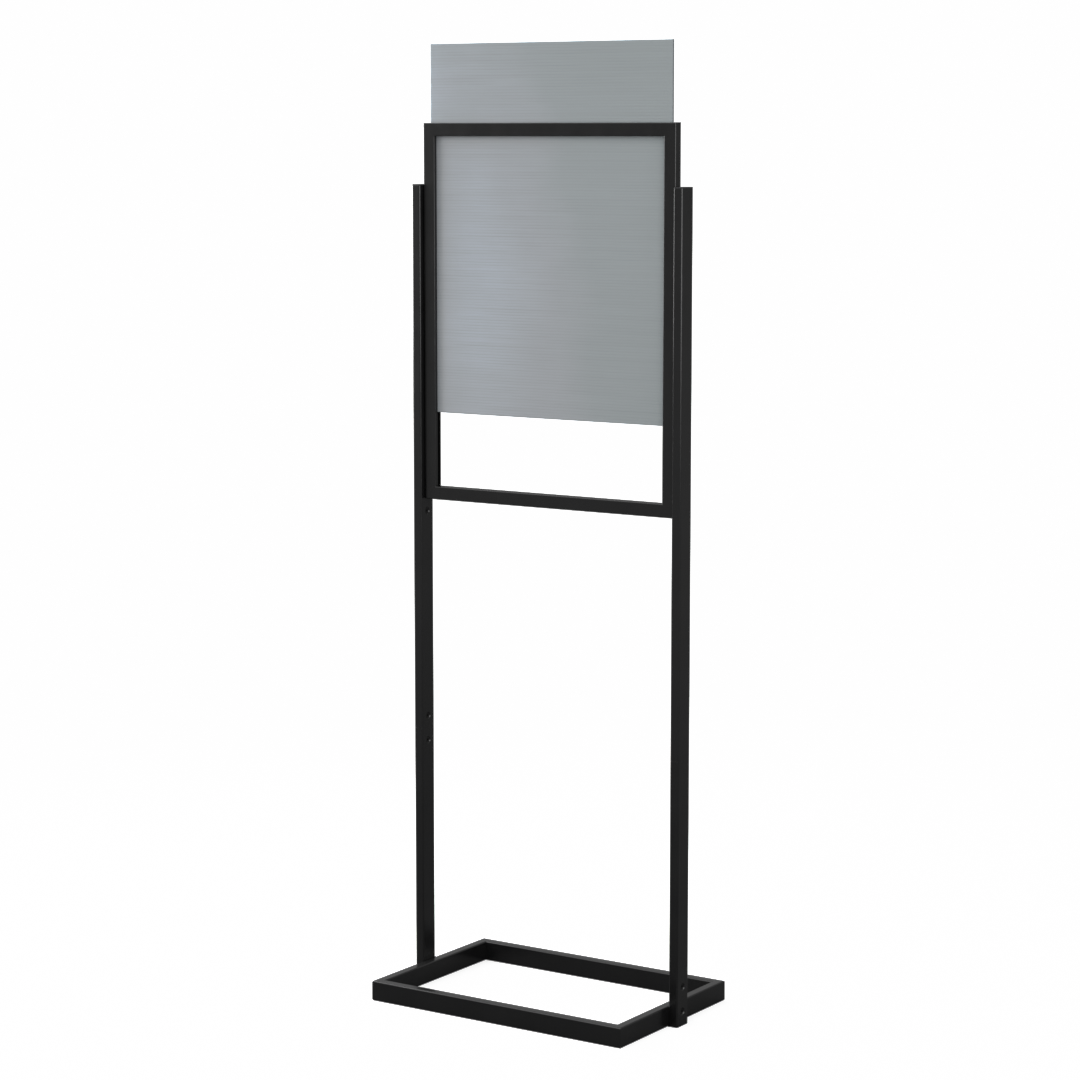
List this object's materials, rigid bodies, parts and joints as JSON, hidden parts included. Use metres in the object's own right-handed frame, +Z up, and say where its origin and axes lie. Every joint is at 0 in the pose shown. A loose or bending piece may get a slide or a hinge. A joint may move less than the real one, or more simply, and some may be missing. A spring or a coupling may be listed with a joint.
{
  "type": "sign stand",
  "caption": "Free-standing floor sign stand: welded rectangular tube base, jointed side posts and a slotted display frame whose insert sheet slides in from above.",
  "frame": {"origin": "on the floor at the centre of the rectangular base", "axes": "+Z up along the posts, +X across the sign to its right as seen from the front, -Y towards the viewer in front of the sign"},
  "size_m": [0.618, 0.387, 1.8742],
  "materials": {
    "powder_coat": "satin black powder coat",
    "screw_black": "black oxide",
    "inner_steel": "plain zinc-plated steel",
    "cap_plastic": "moulded black plastic",
    "washer_plastic": "black nylon",
    "sheet_plastic": "grey twin-wall plastic, slight sheen"
  },
  "bodies": {
    "stand": {"base_front_tube": "powder_coat", "base_right_tube": "powder_coat", "base_back_tube": "powder_coat", "base_left_tube": "powder_coat", "base_plate_left": "powder_coat", "base_plate_right": "powder_coat", "base_spigot_left": "powder_coat", "base_spigot_right": "powder_coat", "lower_post_left": "powder_coat", "lower_post_right": "powder_coat", "upper_post_left": "powder_coat", "upper_post_right": "powder_coat", "frame_bottom_rail": "powder_coat", "frame_top_bar": "powder_coat", "frame_top_strip": "powder_coat", "frame_left_stile": "powder_coat", "frame_right_stile": "powder_coat", "post_connector_left": "inner_steel", "post_connector_right": "inner_steel", "backing_bar_left": "inner_steel", "backing_bar_right": "inner_steel", "base_weld_nuts": "inner_steel", "joint_weld_nuts": "inner_steel", "base_screws": "screw_black", "joint_screws": "screw_black", "backing_bar_screws": "screw_black", "frame_screws": "screw_black", "post_cap_left": "cap_plastic", "post_cap_right": "cap_plastic", "frame_washers": "washer_plastic"},
    "sheet": {"insert_sheet": "sheet_plastic"}
  },
  "joints": [
    {"name": "sheet_slide", "type": "slide", "parent": "stand", "child": "sheet", "axis": [0, 0, 1], "range_m": [-0.159, 0.565]}
  ]
}
